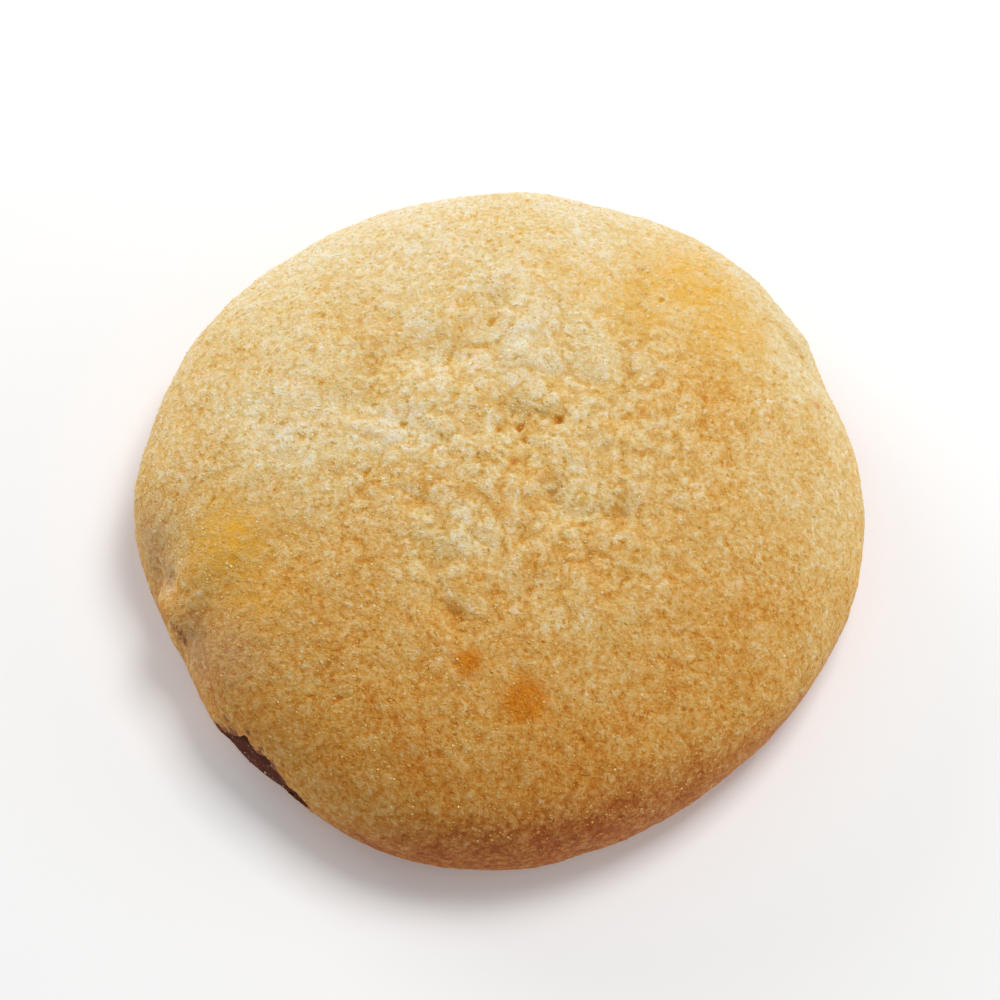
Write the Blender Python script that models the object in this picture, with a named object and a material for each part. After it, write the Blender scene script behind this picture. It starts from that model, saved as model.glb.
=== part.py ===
"""Soft-baked cookie with a chocolate filling that has broken out at its front left side.

The dough is a low dome with a flat base on z = 0; the filling is a flat pocket inside it with one
tongue that reaches the side. Sizes are in millimetres and MM turns them into Blender's metres.
+Z is up. Azimuth is in degrees, counted from +X towards +Y.
"""
import bpy
import numpy as np
from mathutils import Vector, noise

MM = 0.001

# Moves the uneven cookie so that the middle of its box lies over the origin
CENTRING = (0.33, -0.22, 0.0)

# ---- dough: overall form
WIDTH = 64.3
DEPTH = 64.0
HEIGHT = 18.0
WIDEST_HEIGHT = 4.6      # the side bulges most at this height
BASE_SHARE = 0.93        # base radius over widest radius
SHOULDER_POWER = 2.35    # superellipse power of the dome; 2 would be an ellipse
TUCK_TURN = 75.0         # turn of the side between the widest ring and the base

# How the hand-formed outline leaves its ellipse: azimuth, half-width in degrees, push outwards
OUTLINE_LOBES = (
    (14, 9, -0.25),
    (49, 12, 0.85),
    (88, 6, 0.15),
    (148, 10, 0.45),
    (177, 6, 0.40),
    (203, 8, -1.55),
    (229, 13, -1.25),
    (252, 8, 0.10),
    (309, 21, -1.65),
    (336, 11, -0.30),
)

# Swellings (+) and dents (-) of the skin: x, y, z, reach, push outwards
MOUNDS = (
    (-30.1, -6.0, 8.4, 2.6, -0.70),    # dent above the nose at the left
    (-28.5, -8.0, 9.5, 0.9, -0.55),    # hollow right above the nose
    (-30.1, -7.1, 7.4, 1.0, -0.60),    # notch in the outline there
    (-26.3, -14.4, 8.2, 2.4, -0.30),   # hollow below the nose
    (27.0, 15.9, 8.9, 1.4, 0.38),      # flake at the right
    (25.3, 17.8, 9.8, 1.1, -0.45),     # notch before the flake
    (28.3, 12.6, 9.0, 2.3, -0.75),     # hollow after the flake
    (3.0, 30.4, 9.6, 2.4, 0.25),       # low swelling at the back
    (6.4, -30.6, 4.0, 1.2, -0.35),     # nicks in the front rim
    (12.3, -28.2, 3.4, 0.9, -0.25),
)

# Edge of the fold that makes the nose. Its upper side stands out and its lower side lies back:
# start, end, then push and reach of the upper side, push and reach of the lower side
LEDGES = (
    ((-29.3, -9.0, 7.3), (-27.2, -12.0, 8.9), 0.75, 1.5, -0.80, 1.2),
)
LEDGE_EDGE = 0.16        # half-width of the step between the two sides
LEDGE_FADE = 0.7         # the ledge fades out over this much past its ends
LEDGE_DEPTH = 8.0        # and reaches this far into the cookie

# Ridge that runs down to the nose, crease at the flake, and the creases and cracks of the crown:
# half-width, push, plan path
RIDGES = (
    (1.5, 0.40, ((-23.6, -7.2), (-26.3, -8.9), (-27.6, -10.2))),
    (0.5, -0.35, ((24.9, 16.0), (26.0, 14.5), (27.4, 13.1))),
    (1.3, -0.45, ((-12.3, 5.6), (-10.5, 9.3), (-8.3, 10.6), (-4.0, 10.3), (-2.4, 11.5))),
    (0.9, -0.50, ((-0.7, 15.5), (-0.4, 10.6), (0.1, 6.1), (1.8, 1.6), (2.1, -0.7))),
    (0.9, -0.35, ((12.4, 19.8), (12.0, 14.9), (10.9, 10.5), (10.9, 6.9), (10.1, 4.0))),
    (0.8, -0.35, ((3.7, 8.4), (6.3, 7.6), (8.4, 7.0))),
    (0.8, -0.35, ((-0.3, 2.7), (1.0, 4.0), (4.9, 3.5))),
    (0.9, -0.45, ((3.9, -3.3), (5.0, -5.3), (10.0, -5.2))),
    (0.9, -0.35, ((-6.9, -4.1), (-5.4, -6.0), (-5.4, -13.0), (-3.7, -14.7))),
)

CRUMB_PITCH = 3.6        # spacing of the lumps in the crumb
CRUMB_CROWN = 0.30       # their height on the broken crown
CRUMB_SIDE = 0.12        # and on the smoother side
CROWN_CENTRE = (2.0, 1.5)
CROWN_RADIUS = 15.0
CROWN_FADE = 6.0         # the crown's crumb fades out over this much
BASE_FADE = 2.5          # the relief fades out over this height above the base

# ---- dough: mesh density
CROWN_RINGS = 29         # each has six more points than the ring before
CROWN_STEP = 1.0         # distance between those rings
SIDE_STEP = 1.08         # distance between the rings further down

# ---- filling
MOUTH_AZIMUTH = 227.7    # direction of the place where the filling shows
MOUTH_HALF_WIDTH = 5.0
MOUTH_HALF_HEIGHT = 2.6
MOUTH_HEIGHT = 4.4       # height of its middle over the base
MOUTH_RECESS = 0.45      # how far the filling's edge lies behind the skin
MOUTH_BULGE = 0.15       # how far its middle stands out of the skin
POCKET_RADIUS = 22.0
POCKET_HALF_HEIGHT = 2.8
POCKET_HEIGHT = 8.0      # height of the pocket's middle over the base
MOUTH_WAVES = ((2, 0.06, 0.9), (3, 0.09, 2.6), (5, 0.06, 0.4))   # of its edge: count, share, phase
TONGUE_ROOT = 15.0       # the tongue has its full size this far out from the middle
SINK_START = 10.0        # between these two distances the filling sinks from the pocket's height
SINK_END = 27.0          # to the mouth's
BLEND_POWER = 6          # how tightly the pocket's form turns into the tongue's
LENS_POWER = 1.3         # sharpens the side edges of the filling's cross-sections
CLEARANCE = 0.35         # between filling and dough
CUT_PAST_SIDE = 3.0      # the cavity's cutter runs past the skin by this much
FILLING_STATIONS = 16
FILLING_POINTS = 22      # round each cross-section
FACE_DEPTH = 3.0         # of the tongue's last stretch, before its rounded end face
FACE_LOOPS = 3           # of that end face


def smooth_step(value, start, end):
    share = np.clip((value - start) / (end - start), 0.0, 1.0)
    return share * share * (3.0 - 2.0 * share)


def bell(value, half_width):
    return np.exp(-0.5 * (value / half_width) ** 2)


def outline_radius(azimuth):
    """Widest radius of the cookie in the direction azimuth."""
    angle = np.radians(azimuth)
    radius = 1.0 / np.hypot(np.cos(angle) / (WIDTH / 2), np.sin(angle) / (DEPTH / 2))
    for centre, half_width, push in OUTLINE_LOBES:
        away = (azimuth - centre + 180.0) % 360.0 - 180.0
        radius = radius + push * bell(away, half_width)
    return radius


def profile():
    """Share of the outline radius and height, from the crown down to the base's edge."""
    rise = np.linspace(np.pi / 2, 0.0, 400)
    dome_share = np.cos(rise) ** (2 / SHOULDER_POWER)
    dome_height = WIDEST_HEIGHT + (HEIGHT - WIDEST_HEIGHT) * np.sin(rise) ** (2 / SHOULDER_POWER)
    full_turn = np.radians(TUCK_TURN)
    turn = np.linspace(0.0, full_turn, 80)[1:]
    tuck = (1 - BASE_SHARE) / (1 - np.cos(full_turn))
    tuck_share = 1 - tuck * (1 - np.cos(turn))
    tuck_height = WIDEST_HEIGHT * (1 - np.sin(turn) / np.sin(full_turn))
    return np.append(dome_share, tuck_share), np.append(dome_height, tuck_height)


def side_radius(azimuth, height):
    """Radius of the skin at a height over the base, without its relief."""
    share, heights = profile()
    return outline_radius(azimuth) * np.interp(height, heights[::-1], share[::-1])


def ring_places():
    """Share of the outline radius, height and number of points of every ring, crown first."""
    share, height = profile()
    steps = np.hypot(np.diff(share) * WIDTH / 2, np.diff(height))
    way = np.append(0.0, np.cumsum(steps))
    side_start = CROWN_RINGS * CROWN_STEP
    side_rings = round((way[-1] - side_start) / SIDE_STEP)
    places = np.append(np.arange(CROWN_RINGS) * CROWN_STEP, np.linspace(side_start, way[-1], side_rings + 1))
    counts = [6 * min(k, CROWN_RINGS) for k in range(len(places))]
    return np.interp(places, way, share), np.interp(places, way, height), counts


def stitch(inner, outer):
    """Triangles between two rings of (azimuth, index) pairs, each ring starting near azimuth 0."""
    faces = []
    i, j = 0, 0
    while i < len(inner) or j < len(outer):
        next_inner = inner[(i + 1) % len(inner)][0] + 360.0 * ((i + 1) // len(inner))
        next_outer = outer[(j + 1) % len(outer)][0] + 360.0 * ((j + 1) // len(outer))
        inner_here = inner[i % len(inner)][1]
        outer_here = outer[j % len(outer)][1]
        if i == len(inner) or (j < len(outer) and next_outer <= next_inner):
            j += 1
            faces.append((inner_here, outer_here, outer[j % len(outer)][1]))
        else:
            i += 1
            faces.append((inner_here, outer_here, inner[i % len(inner)][1]))
    return faces


def new_object(name, points, faces):
    """Mesh object from points in millimetres, counted from the cookie's own axis."""
    mesh = bpy.data.meshes.new(name)
    mesh.from_pydata([tuple(MM * c for c in point) for point in points], [], faces)
    mesh.update()
    item = bpy.data.objects.new(name, mesh)
    item.location = Vector(CENTRING) * MM
    bpy.context.scene.collection.objects.link(item)
    return item


def ledge_push(points):
    """How far the ledges push the skin outwards at each point."""
    push = np.zeros(len(points))
    for start, end, upper_push, upper_reach, lower_push, lower_reach in LEDGES:
        along = np.subtract(end, start)
        middle = np.add(start, end) / 2
        outward = middle * (1, 1, 0) / np.hypot(middle[0], middle[1])
        upward = np.cross(outward, along) / np.linalg.norm(along)
        way = (points - middle) @ along / np.linalg.norm(along)
        rise = (points - middle) @ upward
        past = np.maximum(np.abs(way) - np.linalg.norm(along) / 2, 0.0)
        upper = smooth_step(rise, -LEDGE_EDGE, LEDGE_EDGE)
        side = upper * upper_push * bell(rise, upper_reach)
        side += (1 - upper) * lower_push * bell(rise, lower_reach)
        push += side * bell(past, LEDGE_FADE) * ((points - middle) @ outward > -LEDGE_DEPTH)
    return push


def path_distance(x, y, path):
    """Distance in plan from each point to a path of straight runs."""
    nearest = np.full(x.shape, np.inf)
    for (x0, y0), (x1, y1) in zip(path, path[1:]):
        dx, dy = x1 - x0, y1 - y0
        along = np.clip(((x - x0) * dx + (y - y0) * dy) / (dx * dx + dy * dy), 0.0, 1.0)
        nearest = np.minimum(nearest, np.hypot(x - x0 - along * dx, y - y0 - along * dy))
    return nearest


def crumb(points):
    """Uneven lumps of the crumb, about -1 to 1."""
    return np.array([noise.fractal(Vector(p) / CRUMB_PITCH, 1.0, 2.0, 3) for p in points])


def relief(points):
    """How far the skin stands out of the smooth dome at each point."""
    x, y, z = points.T
    push = ledge_push(points)
    for centre_x, centre_y, centre_z, reach, height in MOUNDS:
        away = np.sqrt((x - centre_x) ** 2 + (y - centre_y) ** 2 + (z - centre_z) ** 2)
        push += height * bell(away, reach)
    for half_width, height, path in RIDGES:
        push += height * bell(path_distance(x, y, path), half_width)
    from_crown = np.hypot(x - CROWN_CENTRE[0], y - CROWN_CENTRE[1])
    crown = smooth_step(from_crown, CROWN_RADIUS + CROWN_FADE, CROWN_RADIUS - CROWN_FADE)
    push += crumb(points) * (CRUMB_SIDE + (CRUMB_CROWN - CRUMB_SIDE) * crown)
    return push * smooth_step(z, 0.0, BASE_FADE)


def add_relief(item):
    """Move the points of a mesh along their normals by the relief; the base stays flat."""
    points = np.array([v.co[:] for v in item.data.vertices]) / MM
    normals = np.array([v.normal[:] for v in item.data.vertices])
    moved = points + normals * relief(points)[:, None]
    for vertex, point in zip(item.data.vertices, moved):
        vertex.co = Vector(point) * MM


def make_dough():
    """Dome of rings, thickening in number of points outwards, closed by one flat base face."""
    points, faces, rings = [], [], []
    for k, (share, height, count) in enumerate(zip(*ring_places())):
        count = max(count, 1)
        turn = 0.5 * (k % 2) if k > CROWN_RINGS else 0.0
        ring = []
        for j in range(count):
            azimuth = 360.0 * (j + turn) / count
            radius = share * outline_radius(azimuth)
            angle = np.radians(azimuth)
            ring.append((azimuth, len(points)))
            points.append((radius * np.cos(angle), radius * np.sin(angle), height))
        if rings:
            faces += stitch(rings[-1], ring)
        rings.append(ring)
    faces.append([index for azimuth, index in reversed(rings[-1])])
    dough = new_object("cookie_dough", points, faces)
    add_relief(dough)
    return dough


def cross_section(station, margin):
    """Half-width, half-height and middle height of the filling at a station towards the mouth."""
    radius = POCKET_RADIUS + margin
    round_part = np.sqrt(max(1.0 - (station / radius) ** 2, 0.0))
    tongue = smooth_step(station, 0.0, TONGUE_ROOT)
    pocket_size = np.array((radius, POCKET_HALF_HEIGHT + margin)) * round_part
    tongue_size = np.array((MOUTH_HALF_WIDTH + margin, MOUTH_HALF_HEIGHT + margin)) * tongue
    half_width, half_height = (pocket_size ** BLEND_POWER + tongue_size ** BLEND_POWER) ** (1 / BLEND_POWER)
    sink = smooth_step(station, SINK_START, SINK_END)
    return half_width, half_height, POCKET_HEIGHT + (MOUTH_HEIGHT - POCKET_HEIGHT) * sink


def section_loop(station, margin, shrink=1.0):
    """Points round the lens-shaped cross-section: sideways, along the mouth's direction, height."""
    half_width, half_height, middle = cross_section(station, margin)
    angle = np.arange(FILLING_POINTS) * 2 * np.pi / FILLING_POINTS
    waves = sum(share * np.sin(count * angle + phase) for count, share, phase in MOUTH_WAVES)
    size = shrink * (1 + waves * smooth_step(station, SINK_START, SINK_END))
    sideways = size * half_width * np.cos(angle)
    lift = size * half_height * np.sign(np.sin(angle)) * np.abs(np.sin(angle)) ** LENS_POWER
    return sideways, np.full(FILLING_POINTS, station), middle + lift


def face_loop(mouth, shrink):
    """Loop of the filling's end face, which follows the skin: its edge lies back, its middle stands out."""
    sideways, station, height = section_loop(mouth, 0.0, shrink)
    turn = np.arcsin(sideways / mouth)
    skin = side_radius(MOUTH_AZIMUTH + np.degrees(turn), height) * np.cos(turn)
    return sideways, skin + MOUTH_BULGE - (MOUTH_RECESS + MOUTH_BULGE) * shrink ** 2, height


def filling_form(name, margin, past_side=None):
    """The flat pocket and its tongue, grown by a margin.

    The tongue ends in a face that follows the skin or, for the cavity, past_side beyond the skin.
    """
    mouth = side_radius(MOUTH_AZIMUTH, MOUTH_HEIGHT)
    back = -(POCKET_RADIUS + margin)
    front = mouth - FACE_DEPTH
    shares = (1 - np.cos(np.pi * np.arange(1, FILLING_STATIONS + 1) / FILLING_STATIONS)) / 2
    loops = [section_loop(back + (front - back) * share, margin) for share in shares]
    if past_side is None:
        loops += [face_loop(mouth, 1 - k / FACE_LOOPS) for k in range(FACE_LOOPS)]
        tip = mouth + MOUTH_BULGE
    else:
        tip = mouth + past_side
        loops.append(section_loop(tip, margin))

    ahead = Vector((np.cos(np.radians(MOUTH_AZIMUTH)), np.sin(np.radians(MOUTH_AZIMUTH)), 0.0))
    across = Vector((-ahead.y, ahead.x, 0.0))
    points = [tuple(ahead * back + Vector((0, 0, POCKET_HEIGHT)))]
    for loop in loops:
        for sideways, station, height in zip(*loop):
            points.append(tuple(ahead * station + across * sideways + Vector((0, 0, height))))
    points.append(tuple(ahead * tip + Vector((0, 0, MOUTH_HEIGHT))))
    return new_object(name, points, tube_faces(len(loops), FILLING_POINTS))


def tube_faces(loop_count, loop_points):
    """Faces of a closed tube: a first point, loops of points one after the other, and a last point."""
    faces = []
    last = 1 + loop_count * loop_points
    for k in range(loop_points):
        after = (k + 1) % loop_points
        faces.append((0, 1 + after, 1 + k))
        faces.append((last, last - loop_points + k, last - loop_points + after))
        for here in range(1, last - loop_points, loop_points):
            there = here + loop_points
            faces.append((here + k, here + after, there + after))
            faces.append((here + k, there + after, there + k))
    return faces


def cut(item, cutter):
    """Take the cutter's volume out of the item."""
    cutter.hide_render = True
    cutter.display_type = "WIRE"
    boolean = item.modifiers.new("cavity", "BOOLEAN")
    boolean.operation = "DIFFERENCE"
    boolean.object = cutter


def material(name, colour, roughness):
    surface = bpy.data.materials.new(name)
    surface.use_nodes = True
    shader = surface.node_tree.nodes["Principled BSDF"]
    shader.inputs["Base Color"].default_value = (*colour, 1.0)
    shader.inputs["Roughness"].default_value = roughness
    shader.inputs["Metallic"].default_value = 0.0
    return surface


def finish(item, surface):
    item.data.materials.append(surface)
    item.data.shade_smooth()
    item.data.set_sharp_from_angle(angle=np.radians(50.0))


def main():
    for item in list(bpy.data.objects):
        bpy.data.objects.remove(item)
    dough = make_dough()
    finish(dough, material("baked_dough", (0.66, 0.43, 0.16), 0.85))
    filling = filling_form("chocolate_filling", 0.0)
    finish(filling, material("chocolate_cream", (0.06, 0.025, 0.018), 0.55))
    cut(dough, filling_form("cavity_cutter", CLEARANCE, CUT_PAST_SIDE))


main()
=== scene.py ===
"""The looks of the soft-baked cookie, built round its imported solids.

Forms are worked out in millimetres from the cookie's own axis, as in the solids, and MM and CENTRING
turn them into the frame's metres. Azimuth is in degrees, counted from +X towards +Y.
"""

import bmesh
import bpy
import numpy as np
from mathutils import Matrix, Vector, kdtree, noise


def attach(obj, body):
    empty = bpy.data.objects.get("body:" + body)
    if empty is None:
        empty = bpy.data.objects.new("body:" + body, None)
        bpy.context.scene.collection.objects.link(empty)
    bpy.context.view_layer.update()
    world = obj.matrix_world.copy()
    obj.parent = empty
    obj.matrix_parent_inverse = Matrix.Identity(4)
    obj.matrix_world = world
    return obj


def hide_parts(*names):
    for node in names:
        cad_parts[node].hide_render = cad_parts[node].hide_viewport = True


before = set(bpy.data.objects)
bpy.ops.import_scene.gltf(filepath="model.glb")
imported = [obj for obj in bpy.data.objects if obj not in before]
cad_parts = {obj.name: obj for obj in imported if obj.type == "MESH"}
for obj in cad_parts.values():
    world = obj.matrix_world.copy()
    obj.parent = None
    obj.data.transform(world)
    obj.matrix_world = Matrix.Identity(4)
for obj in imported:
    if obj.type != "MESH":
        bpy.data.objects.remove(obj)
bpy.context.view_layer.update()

MM = 0.001

# ---- the solids' form, in millimetres
CENTRING = (0.33, -0.22, 0.0)
WIDTH = 64.3
DEPTH = 64.0
HEIGHT = 18.0
WIDEST_HEIGHT = 4.6
BASE_SHARE = 0.93
SHOULDER_POWER = 2.35
TUCK_TURN = 75.0

OUTLINE_LOBES = (          # azimuth, half-width in degrees, push outwards
    (14, 9, -0.25),
    (49, 12, 0.85),
    (88, 6, 0.15),
    (148, 10, 0.45),
    (177, 6, 0.40),
    (203, 8, -1.55),
    (229, 13, -1.25),
    (252, 8, 0.10),
    (309, 21, -1.65),
    (336, 11, -0.30),
)
MOUNDS = (                 # x, y, z, reach, push outwards
    (-30.1, -6.0, 8.4, 2.6, -0.70),
    (-28.5, -8.0, 9.5, 0.9, -0.55),
    (-30.1, -7.1, 7.4, 1.0, -0.60),
    (-26.3, -14.4, 8.2, 2.4, -0.30),
    (27.0, 15.9, 8.9, 1.4, 0.38),
    (25.3, 17.8, 9.8, 1.1, -0.45),
    (28.3, 12.6, 9.0, 2.3, -0.75),
    (3.0, 30.4, 9.6, 2.4, 0.25),
    (6.4, -30.6, 4.0, 1.2, -0.35),
    (12.3, -28.2, 3.4, 0.9, -0.25),
)
LEDGES = (                 # start, end, push and reach of the upper side, then of the lower side
    ((-29.3, -9.0, 7.3), (-27.2, -12.0, 8.9), 0.75, 1.5, -0.80, 1.2),
)
LEDGE_EDGE = 0.16
LEDGE_FADE = 0.7
LEDGE_DEPTH = 8.0
RIDGES = (                 # half-width, push, plan path
    (1.5, 0.40, ((-23.6, -7.2), (-26.3, -8.9), (-27.6, -10.2))),
    (0.5, -0.35, ((24.9, 16.0), (26.0, 14.5), (27.4, 13.1))),
    (1.3, -0.45, ((-12.3, 5.6), (-10.5, 9.3), (-8.3, 10.6), (-4.0, 10.3), (-2.4, 11.5))),
    (0.9, -0.50, ((-0.7, 15.5), (-0.4, 10.6), (0.1, 6.1), (1.8, 1.6), (2.1, -0.7))),
    (0.9, -0.35, ((12.4, 19.8), (12.0, 14.9), (10.9, 10.5), (10.9, 6.9), (10.1, 4.0))),
    (0.8, -0.35, ((3.7, 8.4), (6.3, 7.6), (8.4, 7.0))),
    (0.8, -0.35, ((-0.3, 2.7), (1.0, 4.0), (4.9, 3.5))),
    (0.9, -0.45, ((3.9, -3.3), (5.0, -5.3), (10.0, -5.2))),
    (0.9, -0.35, ((-6.9, -4.1), (-5.4, -6.0), (-5.4, -13.0), (-3.7, -14.7))),
)
CRUMB_PITCH = 3.6          # low lumps all over, higher on the crown
CRUMB_CROWN = 0.30
CRUMB_SIDE = 0.12
CROWN_CENTRE = (2.0, 1.5)
CROWN_RADIUS = 15.0
CROWN_FADE = 6.0
BASE_FADE = 2.5

# ---- the filling: a flat pocket, and a tongue that runs out of the dough at the mouth
MOUTH_AZIMUTH = 227.7
MOUTH_HALF_WIDTH = 5.0
MOUTH_HALF_HEIGHT = 2.6
MOUTH_HEIGHT = 4.4
MOUTH_RECESS = 0.45
MOUTH_BULGE = 0.15
POCKET_RADIUS = 22.0
POCKET_HALF_HEIGHT = 2.8
POCKET_HEIGHT = 8.0
MOUTH_WAVES = ((2, 0.06, 0.9), (3, 0.09, 2.6), (5, 0.06, 0.4))
TONGUE_ROOT = 15.0
SINK_START = 10.0
SINK_END = 27.0
BLEND_POWER = 6
LENS_POWER = 1.3
CUT_PAST_SIDE = 3.0        # the cavity's cutter ends this far outside the dough
FACE_DEPTH = 3.0           # the filling's end face starts this far inside it
CAVITY_GAP = 0.25          # room round the filling in the finer dough
FILLING_LOOPS = (60, 96, 14)    # loops along the filling, points in each, loops on its end face
CUTTER_LOOPS = (70, 120, 0)

# ---- finer surface of the dough
PROFILE_STEPS = 400
TUCK_STEPS = 80
SKIN_STEP = 0.252        # distance between neighbouring points
SKIN_RINGS = 134         # rings that gain six points each
BASE_STEP = 0.9          # distance between the underside's rings
BASE_STEP_GROWTH = 1.35
SKIN_WARP_PITCH = 1.1    # the crumb's pattern is pushed about by noise
CRUMB_WARP = 0.30
CRACK_WARP = 0.8
CLUMP_PITCH = 2.0        # lumps of crumb, parted by creases
CLUMP_CROWN = 0.10
CLUMP_SIDE = 0.05
CLUMP_CREASE = 0.30
CLUMP_LEVEL = 0.75
GRAIN_PITCH = 0.75
GRAIN_CROWN = 0.06
GRAIN_SIDE = 0.04
GRAIN_CREASE = 0.35
GRAIN_LEVEL = 0.70
FINE_PITCH = 0.42
FINE_HEIGHT = 0.035
CRACK_HALF_WIDTH = 0.20  # sharp, broken cracks along the narrow grooves
CRACK_DEPTH = 0.24
CRACK_BREAK_PITCH = 1.5
NARROW_GROOVE = 1.0      # grooves with less half-width than this have a crack
CROWN_START = 9.0        # cracks and pits lie above this height

PITS = (                 # plan x, y, reach, depth
    (4.9, 3.5, 0.42, 0.34),
    (-0.3, 2.7, 0.34, 0.26),
    (1.5, 2.9, 0.34, 0.24),
    (1.9, 1.5, 0.32, 0.26),
    (1.1, -0.7, 0.40, 0.22),
    (-0.9, 13.6, 0.40, 0.20),
)
PIT_COUNT = 45           # smaller pits at random
PIT_SPREAD = 25.0
PIT_REACHES = (0.20, 0.34)
PIT_DEPTHS = (0.3, 0.7)  # as a share of the reach
PIT_SEED = 7

CRUMB_COUNT = 70         # crumbs of dough on the filling's face
CRUMB_SIZES = (0.06, 0.17)   # half-extents
CRUMB_START = 26.0       # they lie at least this far from the axis
CRUMB_SEED = 21

SUGAR_COUNT = 14000      # grains of sugar that catch the light
SUGAR_SIZES = (0.06, 0.15)   # half-extents
SUGAR_FLATNESS = 0.7
SUGAR_TONES = (-0.30, 0.45)  # browning, set against the dough's at the same place
SUGAR_TILT = 0.25
SUGAR_SEED = 11

# ---- broken edge of the dough over the filling
LIP_START = 24.0         # its raggedness starts this far from the axis
LIP_REACH = 4.0
LIP_STEP = 0.3
LIP_PITCH = 1.1
LIP_RAGGED = 0.75
LIP_NICKS = (            # x, y, z, reach, push
    (-21.5, -21.7, 7.3, 0.28, 1.2),
)
STAIN_REACH = 0.8        # chocolate is smeared on the dough this far round the filling
STAIN_SEARCH = 4.0

# ---- patches of colour on the crust: x, y, z, reach, strength
GOLD_PATCHES = (
    (16.6, 18.4, 14.5, 3.6, 0.9),
    (13.0, 16.5, 16.0, 3.2, 0.6),
    (19.6, 14.0, 14.6, 3.0, 0.7),
    (7.7, 18.0, 16.5, 2.0, 0.45),
    (-23.0, -6.6, 14.4, 2.4, 1.0),
    (-21.1, -11.7, 14.0, 2.6, 0.5),
)
RUDDY_SPOTS = (
    (1.9, -21.3, 15.4, 1.25, 1.5),
    (-2.8, -18.2, 16.3, 0.9, 1.2),
    (27.6, 7.9, 11.6, 0.5, 0.6),
)
# painted shade: greyer, darker colour on the shaded left side
PAINTED_SHADE_PATCHES = (
    (-30.0, -4.4, 8.8, 2.4, 0.40),
    (-28.8, -7.4, 8.9, 1.1, 0.60),
    (-25.6, -13.6, 9.0, 2.2, 0.50),
    (-22.5, -15.0, 11.5, 2.4, 0.40),
)
STAIN_PATCHES = (
    (-28.9, -9.8, 6.1, 0.45, 0.65),
    (-28.4, -10.6, 6.3, 0.50, 0.72),
    (-28.1, -11.2, 6.5, 0.50, 0.80),
    (-27.7, -11.7, 6.7, 0.55, 0.85),
    (-27.3, -12.3, 6.9, 0.55, 0.78),
    (-27.0, -12.9, 6.9, 0.55, 0.55),
    (-26.5, -13.8, 7.2, 0.50, 0.40),
    (-21.3, -21.5, 8.6, 0.25, 1.20),
    (-22.6, -20.6, 6.6, 0.70, 0.90),
)
TAN_PATCHES = (
    (-28.4, -10.4, 8.9, 1.8, 0.7),
    (-26.0, -16.0, 7.6, 3.0, 0.5),
    (-24.5, -18.5, 7.5, 3.6, 0.6),
    (16.7, 6.5, 16.0, 3.5, 0.9),
    (1.0, 24.5, 13.5, 3.5, 0.4),
    (-10.5, 12.5, 16.5, 3.0, 0.4),
)
PALE_PATCHES = (
    (2.0, 2.0, 18.0, 12.0, 1.1),
    (-17.0, 2.0, 15.7, 6.0, 1.65),
    (-4.5, -7.5, 17.0, 3.7, 1.9),
    (-9.7, 2.5, 17.4, 3.5, 2.1),
    (6.2, -5.0, 17.4, 3.0, 1.5),
    (6.5, -16.0, 15.8, 3.5, 1.4),
    (27.0, -2.5, 11.5, 3.0, 0.9),
    (-7.0, 6.5, 17.0, 8.5, 0.9),
    (5.0, 9.0, 17.0, 6.0, 0.4),
    (1.0, 11.0, 17.3, 3.5, 1.3),
    (-18.0, 19.0, 13.0, 7.0, 0.35),
    (26.5, 12.0, 11.0, 4.0, 0.7),
)
TOAST_MIDDLE = 0.50      # browning at the axis
TOAST_AND_SHADE_SLOPE = 0.0135     # browning gained per millimetre towards the front, partly painted shade on the front and painted sheen towards the back
TOAST_LOW = 0.62         # browning of the lowest part of the side, all round
TOAST_BLOTCHES = 0.10
TOAST_TAN = 0.30
TOAST_PALE = 0.20
TOAST_RIGHT = 0.08       # the right side is paler
BAKE_START = 8.0         # the side turns brown from this height
BAKE_END = 0.5           # down to this one
BAKE_AND_SHADE_FRONT = 7.0         # and this much higher up at the front, partly painted shade
BAKE_BLOTCHES = 1.2
FRONT_WAY = (0.3, -0.95)
FRONT_REACH = (20.0, 31.0)
BLOTCH_PITCH = 5.0

# ---- colours, linear; each stop of a ramp has its place, 0 to 1, and its colour
DOUGH_COLOURS = (
    (0.000, (0.86, 0.74, 0.50)),
    (0.175, (0.83, 0.63, 0.305)),
    (0.350, (0.795, 0.51, 0.170)),
    (0.525, (0.76, 0.41, 0.091)),
    (0.700, (0.71, 0.31, 0.049)),
    (1.000, (0.58, 0.17, 0.019)),
)
DOUGH_AMBER = (0.80, 0.40, 0.058)    # what one unit of depth in the crumb lets through; the depth holds the crumb's random tone and painted shade in its hollows and pits
BAKED_COLOURS = (
    (0.0, (0.64, 0.27, 0.072)),
    (0.5, (0.50, 0.147, 0.025)),
    (1.0, (0.37, 0.084, 0.014)),
)
GOLD_COLOUR = (0.86, 0.45, 0.028)
# painted shade on the left side, light and dark
PAINTED_SHADE_COLOURS = ((0.72, 0.50, 0.34), (0.52, 0.29, 0.15))
RUDDY_COLOURS = ((0.82, 0.33, 0.02), (0.58, 0.17, 0.003))
STAIN_COLOUR = (0.25, 0.075, 0.042)
CHOCOLATE_COLOURS = (
    (0.0, (0.095, 0.030, 0.020)),
    (0.5, (0.155, 0.055, 0.036)),
    (1.0, (0.26, 0.115, 0.080)),
)
SUGAR_COLOURS = (
    (0.0, (0.92, 0.82, 0.58)),
    (0.2, (0.90, 0.72, 0.38)),
    (0.4, (0.86, 0.60, 0.22)),
    (0.6, (0.81, 0.48, 0.12)),
    (0.8, (0.75, 0.36, 0.06)),
    (1.0, (0.66, 0.25, 0.03)),
)
FLOOR_COLOUR = (0.92, 0.92, 0.92)
WHITE = (1.0, 1.0, 1.0)

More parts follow.
